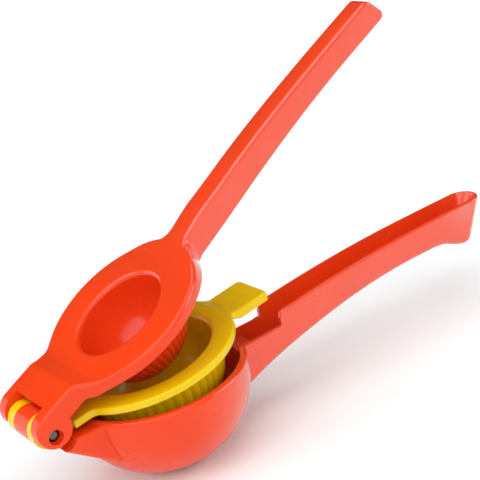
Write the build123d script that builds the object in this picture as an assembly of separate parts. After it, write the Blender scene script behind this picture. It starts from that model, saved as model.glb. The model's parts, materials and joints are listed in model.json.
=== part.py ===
from build123d import *
import os
from math import cos, pi, radians, sin, tan

# Hinged lemon squeezer: a bowl on a channelled handle, a fluted cup that drops into it and a
# press on a second handle, all three turning on one pin.
# Every casting is drawn closed, in the hinge's own frame: the pin's axis is Y through the
# origin, +X runs to the handles and +Z is up. It is then turned about the pin to where it
# rests, and the whole is shifted so that the origin is the middle of the bowl's flat base.

# ---- hinge ----
PIN_RADIUS = 2.5
PIN_CLEARANCE = 0.06            # radial, in the knuckles that turn on the pin
PIN_RECESS = 2.3                # how far each end of the pin sits inside its ear
PIN_CROWN = 1.2                 # rounding of the pin's ends
EAR_RECESS_RADIUS = 2.9
HINGE_WIDTH = 34.3
EAR_WIDTH = 6.0
CUP_KNUCKLE_WIDTH = 5.2
SIDE_GAP = 0.3                  # between neighbours along the pin
KNUCKLE_RADIUS = 6.2
KNUCKLE_CLEARANCE = 0.5         # round a knuckle, in the casting it turns against
EAR_RADIUS = 7.1
EAR_X = 1.6                     # middle of the ear's round end, from the pin
EAR_Z = 1.7
EAR_POCKET_RADIUS = 8.4         # hollow in the bowl's neck that the ear turns in

# ---- how far each arm stands open ----
CUP_REST_ANGLE = 7.0
PRESS_REST_ANGLE = 25.7

# ---- bowl ----
PIN_TO_BOWL = 50.0
BOWL_RADIUS = 36.5
BOWL_DEPTH = 35.6
BOWL_BASE_RADIUS = 10.0
BOWL_ROUNDNESS = 2.1
BOWL_WALL = 2.8
RIM_DROP = 4.06                 # rim below the pin's axis
RIM_ROUNDING = 1.4              # outside
RIM_LIP = 0.4                   # inside
TAB_GATE_GAP = 0.6              # beside the thumb tab, where the rim dips to let it down
TAB_GATE_ROUNDING = 1.5
PLATE_GAP = 0.32                # between one casting's plate and the next when closed

# ---- drain holes, in rings ----
DRAIN_RADIUS = 1.5
DRAIN_COUNTS = (4, 8, 14)
BOWL_DRAIN_RINGS = (3.4, 7.4, 13.0)
CUP_DRAIN_RINGS = (3.2, 7.0, 12.2)

# ---- neck that carries the bowl's knuckle ----
NECK_SLOPE = 38.0               # of its underside
NECK_DROP = 0.4                 # its top below the rim
NECK_FOOT_Z = -6.3              # its underside below the pin
NECK_RUN = 30.0                 # how far it runs into the bowl
NECK_EDGE = 0.8
NECK_FOOT_EDGE = 2.5

# ---- channelled handle ----
HANDLE_ROOT_X = 86.0
HANDLE_ROOT_WIDTH = 17.6
HANDLE_TIP_X = 218.2            # pin to the tip of the top edge
HANDLE_TIP_WIDTH = 15.2
HANDLE_WALL = 1.7
HANDLE_EDGE = 0.7               # rounding of the walls' outer top edges
HANDLE_FOOT_EDGE = 2.8          # rounding of the underside
HANDLE_FLOOR = 2.6
CHANNEL_START = 4.0             # solid handle between the bowl's rim and the channel
TIP_LEAN = 0.52                 # how far the tip's face leans back for each millimetre down
LOW_WALL_Z = -7.4               # top of the low walls beside the thumb tab
STEP_X = 103.6                  # foot of the step up behind the tab
STEP_RUN = 2.4
STEP_TOP_DROP = 0.3
STEP_ROUNDING = (3.2, 2.0)
HANDLE_TOP = ((112.0, -1.0), (142.6, 1.5), (164.2, 2.4), (186.3, 2.6), (HANDLE_TIP_X + 11.8, 2.3))
HANDLE_FOOT = ((70.0, -32.0), (90.1, -22.7), (111.6, -17.0), (138.9, -12.2),
               (HANDLE_TIP_X - 51.7, -10.0), (HANDLE_TIP_X - 34.2, -10.1), (HANDLE_TIP_X - 25.2, -11.2),
               (HANDLE_TIP_X - 17.7, -14.4), (HANDLE_TIP_X - 10.2, -15.4), (HANDLE_TIP_X + 11.8, -15.4))

# ---- cup ----
CUP_FLANGE_RADIUS = 35.0
CUP_PLATE = 3.0
CUP_RADIUS = 27.9               # over the flutes, under the flange
CUP_DEPTH = 25.8                # under the flange
CUP_BASE_RADIUS = 9.0
CUP_ROUNDNESS = 2.5
CUP_WALL = 2.5
CUP_FLUTES = 44
CUP_FLUTE_DEPTH = 0.9
CUP_NECK_WIDTH = 27.0
CUP_NECK_X = 9.0                # where the neck ends, beside the ears
CUP_CORNER_ROUNDING = 3.5       # where the neck and the tab meet the flange
CUP_EDGE = 0.9
CUP_FOOT_EDGE = 0.5
TAB_WIDTH = 20.4
TAB_REACH = 101.7               # pin to the end of the thumb tab
TAB_PLATE = 3.7
TAB_DROP = 1.7                  # how far the tab's top lies below the flange
TAB_BEND_X = 82.0
TAB_BEND_RUN = 4.5
TAB_BEND_ROUNDING = 3.0
TAB_FOOT_SHIFT = 0.6            # how much further out the underside bends
TAB_CORNER = 1.9

# ---- press ----
PRESS_FLANGE_X = 50.6           # middle of the flange's round outline
PRESS_FLANGE_RADIUS = 34.3
PRESS_PLATE = 4.4
DOME_RADIUS = 21.4              # over the flutes, under the plate
DOME_DEPTH = 23.0               # under the plate
DOME_BASE_RADIUS = 6.0
DOME_ROUNDNESS = 2.35
DOME_WALL = 2.6
DOME_FLUTES = 44
DOME_FLUTE_DEPTH = 0.8
LIP_ROUNDING = 2.0
PRESS_NECK_TOP = 8.7
PRESS_NECK_FOOT = 1.0
PRESS_RAMP_X = (16.5, 24.5)     # where the top slopes from the neck down to the plate
PRESS_NECK_STEP_X = (17.0, 20.0)  # the same underneath
PRESS_NECK_CORNER = 4.0         # in plan, where the neck meets the flare
PRESS_FLARE_ANGLE = 38.0        # of the straight flare from the neck to the flange
PRESS_SLOT_X = 5.0              # where the slot between the ears ends
PRESS_HANDLE_ROOT_X = 86.0
PRESS_HANDLE_ROOT_WIDTH = 12.4
PRESS_HANDLE_TIP_WIDTH = 10.2
PRESS_HANDLE_CORNER = 6.0       # in plan, where the handle meets the flange
PRESS_RISE_X = (74.0, 97.5)     # where the top climbs from the plate to the handle
PRESS_RISE_Z = 8.4
PRESS_TOP = ((111.4, 9.4), (137.7, 11.4), (163.3, 12.2), (190.0, 12.4))
PRESS_FOOT = ((86.0, -5.0), (105.5, -3.4), (125.9, -1.4), (152.7, 0.5), (179.0, 1.2), (195.0, 1.1))
PRESS_END = ((206.4, 12.4), (210.0, 1.0))
PRESS_END_ROUNDING = (4.0, 2.5)
PRESS_ROOT_STEP = (81.5, -1.5)  # where the handle's underside drops from the plate
PRESS_ROOT_X = 70.0
PRESS_TOP_ROUNDING = (4.0, 8.0, 30.0, 60.0)
PRESS_FOOT_ROUNDING = (1.0, 6.0, 2.0, 2.0)
PRESS_EDGE = 1.4                # rounding of the plate's top, the ears and the handle

CENTRE_KNUCKLE_WIDTH = HINGE_WIDTH - 2 * EAR_WIDTH - 2 * CUP_KNUCKLE_WIDTH - 4 * SIDE_GAP
CUP_KNUCKLE_INNER = CENTRE_KNUCKLE_WIDTH / 2 + SIDE_GAP
CUP_KNUCKLE_OUTER = CUP_KNUCKLE_INNER + CUP_KNUCKLE_WIDTH
EAR_INNER = CUP_KNUCKLE_OUTER + SIDE_GAP
EAR_OUTER = HINGE_WIDTH / 2
PIN_LENGTH = HINGE_WIDTH - 2 * PIN_RECESS

RIM_Z = -RIM_DROP
CUP_FOOT_Z = RIM_Z + PLATE_GAP
CUP_TOP_Z = CUP_FOOT_Z + CUP_PLATE
PRESS_FOOT_Z = CUP_TOP_Z + PLATE_GAP
PRESS_TOP_Z = PRESS_FOOT_Z + PRESS_PLATE
BASE_Z = RIM_Z - BOWL_DEPTH
OVER = 40.0                     # how far a cutting solid runs past what it cuts


# ---- shapes that repeat ----

def side_prism(edges, y_from, y_to):
    """A closed outline drawn as (x, z), made solid between two values of y."""
    face = Plane.XZ.offset(-y_from) * make_face(edges)
    return extrude(face, -(y_to - y_from))


def plan_prism(sketch, z_from, z_to):
    """A sketch seen from above, made solid between two heights."""
    return extrude(Pos(0, 0, z_from) * sketch, z_to - z_from)


def strip(x_from, x_to, width_from, width_to):
    """A strip along X seen from above, as wide at each end as asked."""
    a, b = width_from / 2, width_to / 2
    return make_face(Polyline((x_from, -a), (x_to, -b), (x_to, b), (x_from, a), close=True))


def tapered(x_from, x_to, root_x, root_width, tip_width):
    """A strip along X that narrows from its root to its tip at x_to, drawn on back to x_from."""
    taper = (root_width - tip_width) / (x_to - root_x)
    return strip(x_from, x_to, tip_width + taper * (x_to - x_from), tip_width)


def rounded_corners(plan, x_from, x_to, radius):
    """A plan with its corners between two values of x rounded."""
    corners = plan.vertices().filter_by(lambda v: x_from < v.X < x_to)
    return fillet(corners, radius)


def cross_cylinder(radius, y_from, y_to, x=0.0, z=0.0):
    """A cylinder along Y."""
    return Location((x, (y_from + y_to) / 2, z), (90, 0, 0)) * Cylinder(radius, y_to - y_from)


def both_sides(shape):
    """A shape and its mirror image across the middle plane."""
    return shape + mirror(shape, about=Plane.XZ)


def faces_up(face):
    return face.normal_at(face.center()).Z > 0.02


def rims(shape, wanted):
    """The edges along both sides of those faces across the middle plane that are wanted."""
    edges = ShapeList()
    for face in shape.faces():
        if abs(face.center().Y) < 0.1 and wanted(face):
            edges += face.edges().filter_by(lambda e: abs(e.center().Y) > 0.5)
    return edges


def rounded_curve(radius, depth, base_radius, roundness, top_z):
    """Points (radius, z) down the side of a bowl, from its mouth to its flat base."""
    full_depth = depth / (1 - (base_radius / radius) ** roundness) ** (1 / roundness)
    count = 6
    points = []
    for i in range(count + 1):
        below = depth * sin(pi / 2 * i / count)
        inward = (1 - (below / full_depth) ** roundness) ** (1 / roundness)
        points.append((radius * inward, top_z - below))
    return points


def turned(edges):
    """An outline of (radius, z) turned about the bowl's axis."""
    return Pos(PIN_TO_BOWL, 0, 0) * revolve(Plane.XZ * make_face(edges), Axis.Z)


def side_curve(points):
    """A smooth line through the points that starts straight down."""
    return Spline(*points, tangents=[(0, -1), (points[-1][0] - points[-2][0], points[-1][1] - points[-2][1])])


def bowl_solid(radius, depth, base_radius, roundness, top_z, edge):
    """A solid bowl, flat at its mouth and its base, with a rounded edge."""
    wall = rounded_curve(radius, depth - edge, base_radius, roundness, top_z - edge)
    return turned([
        Polyline(wall[-1], (0, top_z - depth), (0, top_z), (radius - edge, top_z)),
        CenterArc((radius - edge, top_z - edge), edge, 0, 90),
        side_curve(wall),
    ])


def hollow(radius, depth, base_radius, roundness, mouth_z, lip):
    """The smooth inside of a bowl with a rounded lip, as a cutting solid."""
    wall = rounded_curve(radius, depth - lip, base_radius, roundness, mouth_z - lip)
    edge = radius + lip
    return turned([
        Polyline(wall[-1], (0, wall[-1][1]), (0, mouth_z + OVER), (edge, mouth_z + OVER), (edge, mouth_z)),
        CenterArc((edge, mouth_z - lip), lip, 90, 90),
        side_curve(wall),
    ])


def fluted_ring(radius, flutes, flute_depth):
    """A round outline of rounded flutes seen from above."""
    step = 2 * pi / flutes
    valley = radius - flute_depth

    def spot(distance, turn):
        return (distance * cos(turn), distance * sin(turn))

    arcs = []
    for i in range(flutes):
        crest = spot(radius, (i + 0.5) * step)
        arcs.append(ThreePointArc(spot(valley, i * step), crest, spot(valley, (i + 1) * step)))
    return make_face(arcs)


def fluted_bowl(radius, depth, base_radius, roundness, top_z, flutes, flute_depth):
    """A solid bowl with rounded flutes that follow its side and fade towards its base."""
    rings = []
    for r, z in rounded_curve(radius, depth, base_radius, roundness, top_z):
        rings.append(Pos(PIN_TO_BOWL, 0, z) * fluted_ring(r, flutes, flute_depth * r / radius))
    return loft(rings)


def drains(rings, floor_z):
    """Round holes through a floor."""
    holes = []
    for count, ring_radius in zip(DRAIN_COUNTS, rings):
        for i in range(count):
            turn = 2 * pi * (i + 0.5) / count
            x = PIN_TO_BOWL + ring_radius * cos(turn)
            holes.append(Pos(x, ring_radius * sin(turn), floor_z) * Cylinder(DRAIN_RADIUS, OVER / 2))
    return holes


# ---- bowl, its handle and its knuckle: one casting ----

def handle_side():
    """The handle's outline seen from the side."""
    start, end = HANDLE_FOOT[0], HANDLE_FOOT[-1]
    step_top = (STEP_X + STEP_RUN, HANDLE_TOP[0][1] - STEP_TOP_DROP)
    return [
        FilletPolyline((start[0], LOW_WALL_Z), (STEP_X, LOW_WALL_Z), step_top, HANDLE_TOP[0],
                       radius=STEP_ROUNDING),
        Spline(*HANDLE_TOP),
        Line(HANDLE_TOP[-1], end),
        Spline(*HANDLE_FOOT),
        Line(start, (start[0], LOW_WALL_Z)),
    ]


def above_floor():
    """The room over the channel's floor."""
    floor = [(x, z + HANDLE_FLOOR) for x, z in HANDLE_FOOT]
    return side_prism([
        Spline(*floor),
        Polyline(floor[-1], (floor[-1][0], OVER), (floor[0][0], OVER), floor[0]),
    ], -OVER, OVER)


def handle_plan(inset):
    """The handle seen from above, with its round tip; inset draws the channel inside the walls."""
    tip_radius = HANDLE_TIP_WIDTH / 2
    tip_x = HANDLE_TIP_X - tip_radius
    body = tapered(PIN_TO_BOWL, tip_x, HANDLE_ROOT_X, HANDLE_ROOT_WIDTH - 2 * inset,
                   HANDLE_TIP_WIDTH - 2 * inset)
    return body + Pos(tip_x, 0) * Circle(tip_radius - inset)


def leaning(sketch, z_at):
    """A plan made solid along the lean of the handle's tip; it is as drawn at the height z_at."""
    top = Pos(TIP_LEAN * OVER, 0, z_at + OVER) * sketch
    return extrude(top, 2 * OVER * (1 + TIP_LEAN ** 2) ** 0.5, dir=(-TIP_LEAN, 0, -1))


def bowl_handle():
    tip_z = HANDLE_TOP[-1][1]
    body = leaning(handle_plan(0), tip_z) & side_prism(handle_side(), -OVER, OVER)
    body = fillet(rims(body, faces_up), HANDLE_EDGE)
    body = fillet(rims(body, lambda f: not faces_up(f) and f.center().X > HANDLE_ROOT_X), HANDLE_FOOT_EDGE)
    root = Pos(PIN_TO_BOWL, 0, 0) * Cylinder(BOWL_RADIUS + CHANNEL_START, 2 * OVER)
    channel = (leaning(handle_plan(HANDLE_WALL), tip_z) & above_floor()) - root
    return body - channel


def tab_gate():
    """The dip in the rim that the cup's thumb tab comes down into, as a cutting solid."""
    floor = TAB_WIDTH / 2 + TAB_GATE_GAP
    rise = OVER - LOW_WALL_Z
    outline = Polyline((-floor - rise, OVER), (-floor, LOW_WALL_Z), (floor, LOW_WALL_Z), (floor + rise, OVER),
                       close=True)
    dip = make_face(outline)
    dip = fillet(dip.vertices().filter_by(lambda v: v.Y < 0), TAB_GATE_ROUNDING)
    return extrude(Plane.YZ.offset(PIN_TO_BOWL + BOWL_RADIUS / 2) * dip, BOWL_RADIUS)


def bowl_neck():
    """The wedge between the bowl and the hinge, with pockets for the ears and the cup's knuckles."""
    top_z = RIM_Z - NECK_DROP
    foot_z = NECK_FOOT_Z - NECK_RUN * tan(radians(NECK_SLOPE))
    outline = Polyline((0, NECK_FOOT_Z), (NECK_RUN, foot_z), (NECK_RUN, top_z), (0, top_z), close=True)
    wedge = side_prism(outline, -EAR_OUTER, EAR_OUTER)
    wedge = fillet(rims(wedge, lambda f: f.normal_at(f.center()).Z < -0.1), NECK_FOOT_EDGE)
    wedge = fillet(rims(wedge, faces_up), NECK_EDGE)
    ear_pocket = cross_cylinder(EAR_POCKET_RADIUS, CUP_KNUCKLE_OUTER, EAR_OUTER + OVER)
    cup_pocket = cross_cylinder(KNUCKLE_RADIUS + KNUCKLE_CLEARANCE, CENTRE_KNUCKLE_WIDTH / 2, EAR_INNER)
    return wedge - both_sides(ear_pocket) - both_sides(cup_pocket)


def bowl_arm():
    outer = bowl_solid(BOWL_RADIUS, BOWL_DEPTH, BOWL_BASE_RADIUS, BOWL_ROUNDNESS, RIM_Z, RIM_ROUNDING)
    inside = hollow(BOWL_RADIUS - BOWL_WALL, BOWL_DEPTH - BOWL_WALL, BOWL_BASE_RADIUS,
                    BOWL_ROUNDNESS, RIM_Z, RIM_LIP)
    knuckle = cross_cylinder(KNUCKLE_RADIUS, -CENTRE_KNUCKLE_WIDTH / 2, CENTRE_KNUCKLE_WIDTH / 2)
    bore = cross_cylinder(PIN_RADIUS + PIN_CLEARANCE, -OVER, OVER)
    body = outer + bowl_neck() + bowl_handle() + knuckle - tab_gate() - inside - bore
    return body - drains(BOWL_DRAIN_RINGS, BASE_Z)


# ---- cup: the fluted insert ----

def cup_plan():
    """Flange, neck and thumb tab seen from above."""
    plan = (Pos(PIN_TO_BOWL, 0) * Circle(CUP_FLANGE_RADIUS)
            + strip(CUP_NECK_X, PIN_TO_BOWL, CUP_NECK_WIDTH, CUP_NECK_WIDTH)
            + strip(PIN_TO_BOWL, TAB_REACH, TAB_WIDTH, TAB_WIDTH))
    plan = rounded_corners(plan, TAB_REACH - 1, TAB_REACH + 1, TAB_CORNER)
    plan = rounded_corners(plan, PIN_TO_BOWL, TAB_REACH - 2 * TAB_CORNER, CUP_CORNER_ROUNDING)
    return rounded_corners(plan, CUP_NECK_X + 1, PIN_TO_BOWL, CUP_CORNER_ROUNDING)


def cup_side():
    """The flange and the thumb tab seen from the side."""
    end = TAB_REACH + 1
    bend_end = TAB_BEND_X + TAB_BEND_RUN
    tab_z = CUP_TOP_Z - TAB_DROP
    bend = (TAB_BEND_ROUNDING, TAB_BEND_ROUNDING)
    return [FilletPolyline(
        (CUP_NECK_X, CUP_TOP_Z), (TAB_BEND_X, CUP_TOP_Z), (bend_end, tab_z), (end, tab_z),
        (end, tab_z - TAB_PLATE), (bend_end + TAB_FOOT_SHIFT, tab_z - TAB_PLATE),
        (TAB_BEND_X + TAB_FOOT_SHIFT, CUP_FOOT_Z), (CUP_NECK_X, CUP_FOOT_Z), close=True,
        radius=(0, *bend, 0, 0, *bend, 0))]


def cup():
    plate = plan_prism(cup_plan(), -OVER, OVER) & side_prism(cup_side(), -OVER, OVER)
    plate = fillet(rims(plate, faces_up), CUP_EDGE)
    plate = fillet(rims(plate, lambda f: not faces_up(f)), CUP_FOOT_EDGE)
    body = fluted_bowl(CUP_RADIUS, CUP_DEPTH, CUP_BASE_RADIUS, CUP_ROUNDNESS, CUP_FOOT_Z,
                       CUP_FLUTES, CUP_FLUTE_DEPTH)
    knuckle = cross_cylinder(KNUCKLE_RADIUS, CUP_KNUCKLE_INNER, CUP_KNUCKLE_OUTER)
    arm_length = CUP_NECK_X + KNUCKLE_RADIUS
    arm = Pos(arm_length / 2, (CUP_KNUCKLE_INNER + CUP_KNUCKLE_OUTER) / 2, CUP_FOOT_Z + CUP_PLATE / 2) \
        * Box(arm_length, CUP_KNUCKLE_WIDTH, CUP_PLATE)
    inside = hollow(CUP_RADIUS - CUP_WALL, CUP_DEPTH + CUP_PLATE - CUP_WALL, CUP_BASE_RADIUS,
                    CUP_ROUNDNESS, CUP_TOP_Z, LIP_ROUNDING)
    bore = cross_cylinder(PIN_RADIUS + PIN_CLEARANCE, -OVER, OVER)
    body = plate + body + both_sides(knuckle + arm) - inside - bore
    return body - drains(CUP_DRAIN_RINGS, CUP_FOOT_Z - CUP_DEPTH)


# ---- press: its domed plunger, its handle and its two ears ----

def press_plan():
    """Flange, neck and handle seen from above, the handle running on past its end."""
    turn = radians(90 + PRESS_FLARE_ANGLE)
    flare_x = PRESS_FLANGE_X + PRESS_FLANGE_RADIUS * cos(turn)
    flare_y = PRESS_FLANGE_RADIUS * sin(turn)
    neck_end_x = flare_x - (flare_y - EAR_OUTER) / tan(radians(PRESS_FLARE_ANGLE))
    plan = (Pos(PRESS_FLANGE_X, 0) * Circle(PRESS_FLANGE_RADIUS)
            + strip(EAR_X - EAR_RADIUS, PIN_TO_BOWL, HINGE_WIDTH, HINGE_WIDTH)
            + strip(neck_end_x, flare_x, HINGE_WIDTH, 2 * flare_y)
            + tapered(PIN_TO_BOWL, PRESS_END[-1][0] + 1, PRESS_HANDLE_ROOT_X, PRESS_HANDLE_ROOT_WIDTH,
                      PRESS_HANDLE_TIP_WIDTH))
    plan = rounded_corners(plan, neck_end_x - 1, neck_end_x + 1, PRESS_NECK_CORNER)
    return rounded_corners(plan, PIN_TO_BOWL, PRESS_HANDLE_ROOT_X + 1, PRESS_HANDLE_CORNER)


def press_side():
    """The press seen from the side."""
    ear_top = (EAR_X, EAR_Z + EAR_RADIUS)
    ear_foot_x = EAR_X + (EAR_RADIUS ** 2 - (EAR_Z - PRESS_NECK_FOOT) ** 2) ** 0.5
    ear_back = (EAR_X - EAR_RADIUS, EAR_Z)
    ear_low = (EAR_X, EAR_Z - EAR_RADIUS)
    return [
        FilletPolyline(ear_top, (PRESS_RAMP_X[0], PRESS_NECK_TOP), (PRESS_RAMP_X[1], PRESS_TOP_Z),
                       (PRESS_RISE_X[0], PRESS_TOP_Z), (PRESS_RISE_X[1], PRESS_RISE_Z), PRESS_TOP[0],
                       radius=PRESS_TOP_ROUNDING),
        Spline(*PRESS_TOP),
        FilletPolyline(PRESS_TOP[-1], *PRESS_END, PRESS_FOOT[-1], radius=PRESS_END_ROUNDING),
        Spline(*PRESS_FOOT),
        FilletPolyline(PRESS_FOOT[0], PRESS_ROOT_STEP, (PRESS_ROOT_X, PRESS_FOOT_Z),
                       (PRESS_NECK_STEP_X[1], PRESS_FOOT_Z), (PRESS_NECK_STEP_X[0], PRESS_NECK_FOOT),
                       (ear_foot_x, PRESS_NECK_FOOT), radius=PRESS_FOOT_ROUNDING),
        ThreePointArc((ear_foot_x, PRESS_NECK_FOOT), ear_low, ear_back),
        RadiusArc(ear_back, ear_top, EAR_RADIUS),
    ]


def press_body():
    """Plate, neck and handle as one rounded slab, before the dome and the slot."""
    body = plan_prism(press_plan(), -OVER, OVER) & side_prism(press_side(), -OVER, OVER)
    round_ears = PRESS_SLOT_X
    edges = rims(body, lambda f: faces_up(f) or not round_ears < f.center().X < PRESS_HANDLE_ROOT_X)
    return fillet(edges, PRESS_EDGE)


def press_arm():
    body = press_body()
    dome = fluted_bowl(DOME_RADIUS, DOME_DEPTH, DOME_BASE_RADIUS, DOME_ROUNDNESS, PRESS_FOOT_Z,
                       DOME_FLUTES, DOME_FLUTE_DEPTH)
    inside = hollow(DOME_RADIUS - DOME_WALL, DOME_DEPTH + PRESS_PLATE - DOME_WALL,
                    DOME_BASE_RADIUS - DOME_WALL / 2, DOME_ROUNDNESS, PRESS_TOP_Z, LIP_ROUNDING)
    slot = Pos(PRESS_SLOT_X - OVER / 2, 0, 0) * Box(OVER, 2 * EAR_INNER, OVER)
    relief = cross_cylinder(KNUCKLE_RADIUS + KNUCKLE_CLEARANCE, -EAR_INNER, EAR_INNER)
    under_neck = Pos(EAR_X + EAR_RADIUS - OVER / 2, 0, PRESS_NECK_FOOT - OVER / 2) \
        * Box(OVER, 2 * EAR_INNER, OVER)
    bore = cross_cylinder(PIN_RADIUS, -OVER, OVER)
    recess = cross_cylinder(EAR_RECESS_RADIUS, EAR_OUTER - PIN_RECESS, EAR_OUTER + OVER)
    return body + dome - inside - slot - relief - under_neck - bore - both_sides(recess)


def hinge_pin():
    pin = cross_cylinder(PIN_RADIUS, -PIN_LENGTH / 2, PIN_LENGTH / 2)
    return fillet(pin.edges().filter_by(GeomType.CIRCLE), PIN_CROWN)


# ---- the pieces where they rest ----

def opened(shape, angle):
    """A piece turned about the pin from closed."""
    return Pos(-PIN_TO_BOWL, 0, -BASE_Z) * Rotation(0, -angle, 0) * shape


os.makedirs("parts", exist_ok=True)
export_step(opened(bowl_arm(), 0), "parts/bowl_arm.step")
export_step(opened(cup(), CUP_REST_ANGLE), "parts/cup.step")
export_step(opened(press_arm(), PRESS_REST_ANGLE), "parts/press_arm.step")
export_step(opened(hinge_pin(), PRESS_REST_ANGLE), "parts/hinge_pin.step")
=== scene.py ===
"""Hinged lemon squeezer: enamelled castings on a steel pin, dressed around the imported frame."""
import json
import math

import bmesh
import bpy
from mathutils import Matrix, Vector


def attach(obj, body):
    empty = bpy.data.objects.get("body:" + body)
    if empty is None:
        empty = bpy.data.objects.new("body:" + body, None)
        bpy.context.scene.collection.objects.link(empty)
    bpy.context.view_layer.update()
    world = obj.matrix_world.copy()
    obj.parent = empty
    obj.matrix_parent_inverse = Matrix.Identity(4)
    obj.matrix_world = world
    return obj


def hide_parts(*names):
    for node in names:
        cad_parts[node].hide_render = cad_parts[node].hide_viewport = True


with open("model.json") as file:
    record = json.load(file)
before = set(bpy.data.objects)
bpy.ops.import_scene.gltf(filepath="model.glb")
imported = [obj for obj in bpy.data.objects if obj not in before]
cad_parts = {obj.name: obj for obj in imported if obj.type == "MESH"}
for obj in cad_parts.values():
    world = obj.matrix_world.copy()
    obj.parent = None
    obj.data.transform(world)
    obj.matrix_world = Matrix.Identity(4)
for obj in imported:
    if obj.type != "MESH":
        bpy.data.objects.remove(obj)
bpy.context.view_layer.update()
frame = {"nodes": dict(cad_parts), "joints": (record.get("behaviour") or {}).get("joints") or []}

HINGE = Vector(frame["joints"][0]["pos_m"])

# Camera: a long lens, low over the bowl, turned a little about its own axis
CAMERA_AZIMUTH = math.radians(-28.671)
CAMERA_ELEVATION = math.radians(21.107)
CAMERA_ROLL = math.radians(-14.913)
CAMERA_DISTANCE = 0.54206
CAMERA_TARGET = HINGE + Vector((0.10107, 0.0, 0.02981))
CAMERA_NEAR = 0.01
CAMERA_FAR = 20.0
LENS_MM = 105.0
SENSOR_MM = 36.0

# Studio: name, azimuth, elevation and spread in degrees, strength
ROOM_LIGHT = 0.05
LAMPS = (
    ("overhead", 0.0, 90.0, 60.0, 0.36),
    ("front", -28.0, 38.0, 75.0, 0.64),
    ("left", -104.0, 42.0, 55.0, 0.45),
    ("right", 62.0, 20.0, 36.0, 0.34),
    ("behind", -149.0, 7.0, 38.0, 0.13),
)
WHITE = (1.0, 1.0, 1.0, 1.0)
FLOOR_REACH = 4.0
# The floor's red is held a little low: painted shade colour, so the pink light that the red pieces
# bounce into its shadows comes out grey
FLOOR_WHITE = (0.85, 0.90, 0.90, 1.0)
FLOOR_ROUGHNESS = 0.7
FLOOR_GLOW = 0.04

# Enamel colours: where it pools and elsewhere
RED_DEEP = (0.76, 0.047, 0.006)
RED = (0.80, 0.052, 0.007)
YELLOW_DEEP = (0.74, 0.505, 0.001)
YELLOW = (0.78, 0.54, 0.001)

# Enamel gloss: at the hinge's end and on the handles. The rise between them is a painted reflection,
# keeping the floor's pale reflection weak towards the hinge's end and full on the handles
RED_SHEEN = (0.22, 0.5)
RED_COAT = (0.15, 1.0)
YELLOW_SHEEN = (0.2, 0.2)
YELLOW_COAT = (0.2, 0.2)
PAINTED_GLOSS_FROM = -0.012          # along X, where the gloss starts to rise
PAINTED_GLOSS_TO = 0.030             # where it is full

# Enamel surface: noise scale in features per metre and its detail, then what the noise drives
POOLING = (28.0, 3.0)
CLOUDING = (60.0, 2.0)
ENAMEL_ROUGHNESS = (0.20, 0.32)
COAT_ROUGHNESS = 0.12
PEEL = (420.0, 2.0)
PEEL_STRENGTH = 0.05
PEEL_DEPTH = 0.0003

# Pin steel, darkened far below bright steel: painted shade for the deep recess around the pin's end
SHADED_STEEL = (0.13, 0.115, 0.11)
STEEL_SHADE = 0.86              # of the steel's colour, in the grain's dark streaks
STEEL_GRAIN = (900.0, 3.0)
STEEL_ROUGHNESS = (0.08, 0.18)

# Where a colour ramp starts and ends along its noise
RAMP_START = 0.35
RAMP_END = 0.65

# Shading copies of the castings
MERGE_DISTANCE = 0.000002
SMOOTH_ANGLE = math.radians(32.0)


def direction(azimuth, elevation):
    """The direction towards a point of the room. Azimuth 0 is in front of the near side."""
    return Vector((math.sin(azimuth) * math.cos(elevation),
                   -math.cos(azimuth) * math.cos(elevation),
                   math.sin(elevation)))


def camera():
    """The camera at the viewing angle, aimed at a point between the two handles."""
    back = direction(CAMERA_AZIMUTH, CAMERA_ELEVATION)
    right = Vector((0.0, 0.0, 1.0)).cross(back).normalized()
    up = back.cross(right)
    turned_right = right * math.cos(CAMERA_ROLL) + up * math.sin(CAMERA_ROLL)
    turned_up = up * math.cos(CAMERA_ROLL) - right * math.sin(CAMERA_ROLL)
    place = Matrix((turned_right, turned_up, back)).transposed().to_4x4()
    place.translation = CAMERA_TARGET + back * CAMERA_DISTANCE
    data = bpy.data.cameras.new("camera")
    data.lens = LENS_MM
    data.sensor_width = SENSOR_MM
    data.clip_start = CAMERA_NEAR
    data.clip_end = CAMERA_FAR
    eye = bpy.data.objects.new("camera", data)
    eye.matrix_world = place
    bpy.context.scene.collection.objects.link(eye)
    bpy.context.scene.camera = eye


def studio_lamp(name, azimuth, elevation, spread, strength):
    """A far soft light. Its spread is the angle that it fills."""
    data = bpy.data.lights.new(name, "SUN")
    data.energy = strength * math.pi
    data.angle = math.radians(spread)
    towards = direction(math.radians(azimuth), math.radians(elevation))
    lamp = bpy.data.objects.new(name, data)
    lamp.rotation_euler = (-towards).to_track_quat("-Z", "Y").to_euler()
    bpy.context.scene.collection.objects.link(lamp)


def room():
    """The dim room that the gloss mirrors."""
    world = bpy.data.worlds.new("studio")
    bpy.context.scene.world = world
    world.use_nodes = True
    background = world.node_tree.nodes["Background"]
    background.inputs["Color"].default_value = WHITE
    background.inputs["Strength"].default_value = ROOM_LIGHT


def floor():
    """A pale sheet of paper that glows very softly."""
    sheet = bmesh.new()
    bmesh.ops.create_grid(sheet, x_segments=1, y_segments=1, size=FLOOR_REACH)
    mesh = bpy.data.meshes.new("floor")
    sheet.to_mesh(mesh)
    sheet.free()
    ground = bpy.data.objects.new("floor", mesh)
    bpy.context.scene.collection.objects.link(ground)
    paper = bpy.data.materials.new("paper")
    paper.use_nodes = True
    shader = paper.node_tree.nodes["Principled BSDF"]
    shader.inputs["Base Color"].default_value = FLOOR_WHITE
    shader.inputs["Roughness"].default_value = FLOOR_ROUGHNESS
    shader.inputs["Emission Color"].default_value = WHITE
    shader.inputs["Emission Strength"].default_value = FLOOR_GLOW
    mesh.materials.append(paper)


def studio():
    """A pale floor in a dim room, under wide soft lamps."""
    bpy.context.scene.view_settings.view_transform = "Standard"
    room()
    for lamp in LAMPS:
        studio_lamp(*lamp)
    floor()


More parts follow.
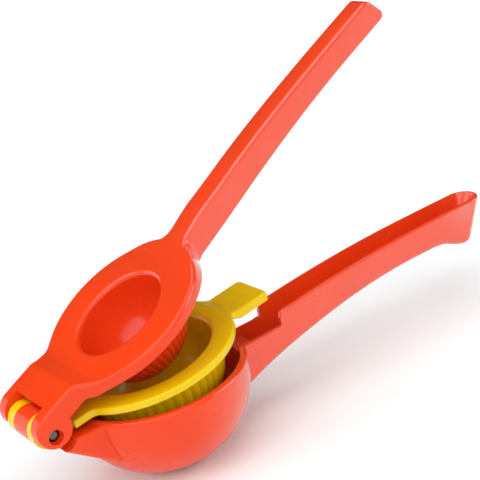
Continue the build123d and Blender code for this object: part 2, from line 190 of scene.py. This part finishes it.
def noise(nodes, links, place, scale, detail):
    """A noise texture on the piece's own coordinates; scale is features per metre."""
    texture = nodes.new("ShaderNodeTexNoise")
    texture.inputs["Scale"].default_value = scale
    texture.inputs["Detail"].default_value = detail
    links.new(place.outputs["Object"], texture.inputs["Vector"])
    return texture


def ramp(nodes, links, source, low, high):
    """Turns a noise into a colour between low and high."""
    band = nodes.new("ShaderNodeValToRGB")
    band.color_ramp.elements[0].position = RAMP_START
    band.color_ramp.elements[1].position = RAMP_END
    band.color_ramp.elements[0].color = (*low, 1.0)
    band.color_ramp.elements[1].color = (*high, 1.0)
    links.new(source.outputs["Fac"], band.inputs["Fac"])
    return band.outputs["Color"]


def spread_of(nodes, links, source, low, high):
    """Turns a noise into a number between low and high."""
    span = nodes.new("ShaderNodeMapRange")
    span.inputs["To Min"].default_value = low
    span.inputs["To Max"].default_value = high
    links.new(source.outputs["Fac"], span.inputs["Value"])
    return span.outputs["Result"]


def along(nodes, links, place, low, high):
    """A number that rises smoothly along X from the hinge's end to the handles."""
    split = nodes.new("ShaderNodeSeparateXYZ")
    links.new(place.outputs["Object"], split.inputs["Vector"])
    span = nodes.new("ShaderNodeMapRange")
    span.interpolation_type = "SMOOTHSTEP"
    span.inputs["From Min"].default_value = PAINTED_GLOSS_FROM
    span.inputs["From Max"].default_value = PAINTED_GLOSS_TO
    span.inputs["To Min"].default_value = low
    span.inputs["To Max"].default_value = high
    links.new(split.outputs["X"], span.inputs["Value"])
    return span.outputs["Result"]


def enamel(name, deep, bright, sheen, coat):
    """Glossy baked enamel over a casting: faint pooling of colour, orange peel and a clear top coat.

    Sheen and coat are each a pair: their values at the hinge's end and on the handles. The rise
    between them is a painted reflection, weak at the hinge's end and full on the handles.
    """
    finish = bpy.data.materials.new(name)
    finish.use_nodes = True
    nodes = finish.node_tree.nodes
    links = finish.node_tree.links
    shader = nodes["Principled BSDF"]
    place = nodes.new("ShaderNodeTexCoord")
    pooling = noise(nodes, links, place, *POOLING)
    links.new(ramp(nodes, links, pooling, deep, bright), shader.inputs["Base Color"])
    cloud = noise(nodes, links, place, *CLOUDING)
    links.new(spread_of(nodes, links, cloud, *ENAMEL_ROUGHNESS), shader.inputs["Roughness"])
    peel = noise(nodes, links, place, *PEEL)
    bump = nodes.new("ShaderNodeBump")
    bump.inputs["Strength"].default_value = PEEL_STRENGTH
    bump.inputs["Distance"].default_value = PEEL_DEPTH
    links.new(peel.outputs["Fac"], bump.inputs["Height"])
    links.new(bump.outputs["Normal"], shader.inputs["Normal"])
    # Coat and sheen rise along X: a painted reflection, weak at the hinge's end and full on the
    # handles
    links.new(along(nodes, links, place, *coat), shader.inputs["Coat Weight"])
    shader.inputs["Coat Roughness"].default_value = COAT_ROUGHNESS
    links.new(along(nodes, links, place, *sheen), shader.inputs["Specular IOR Level"])
    return finish


def pin_metal(name):
    """Pin steel with a fine grain, its colour darkened as painted shade for the recess around its
    end.
    """
    finish = bpy.data.materials.new(name)
    finish.use_nodes = True
    nodes = finish.node_tree.nodes
    links = finish.node_tree.links
    shader = nodes["Principled BSDF"]
    place = nodes.new("ShaderNodeTexCoord")
    grain = noise(nodes, links, place, *STEEL_GRAIN)
    shade = tuple(part * STEEL_SHADE for part in SHADED_STEEL)
    links.new(ramp(nodes, links, grain, shade, SHADED_STEEL), shader.inputs["Base Color"])
    links.new(spread_of(nodes, links, grain, *STEEL_ROUGHNESS), shader.inputs["Roughness"])
    shader.inputs["Metallic"].default_value = 1.0
    return finish


def soft_shaded(node, body, finish):
    """A copy of a piece with its facets merged, so that its gloss runs over them unbroken."""
    source = frame["nodes"][node]
    shape = bmesh.new()
    shape.from_mesh(source.data)
    bmesh.ops.remove_doubles(shape, verts=shape.verts, dist=MERGE_DISTANCE)
    for face in shape.faces:
        face.smooth = True
    for edge in shape.edges:
        edge.smooth = len(edge.link_faces) == 2 and edge.calc_face_angle(0.0) < SMOOTH_ANGLE
    mesh = bpy.data.meshes.new(node + "_casting")
    shape.to_mesh(mesh)
    shape.free()
    mesh.materials.clear()
    mesh.materials.append(finish)
    piece = bpy.data.objects.new(node + "_casting", mesh)
    bpy.context.scene.collection.objects.link(piece)
    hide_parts(node)
    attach(piece, body)


camera()
studio()
red_enamel = enamel("red enamel", RED_DEEP, RED, RED_SHEEN, RED_COAT)
yellow_enamel = enamel("yellow enamel", YELLOW_DEEP, YELLOW, YELLOW_SHEEN, YELLOW_COAT)
# The pin's steel is darkened as painted shade for the recess around its end
pin_steel = pin_metal("pin steel")
soft_shaded("bowl_arm", "bowl_arm", red_enamel)
soft_shaded("cup", "cup", yellow_enamel)
soft_shaded("press_arm", "press_arm", red_enamel)
soft_shaded("hinge_pin", "press_arm", pin_steel)
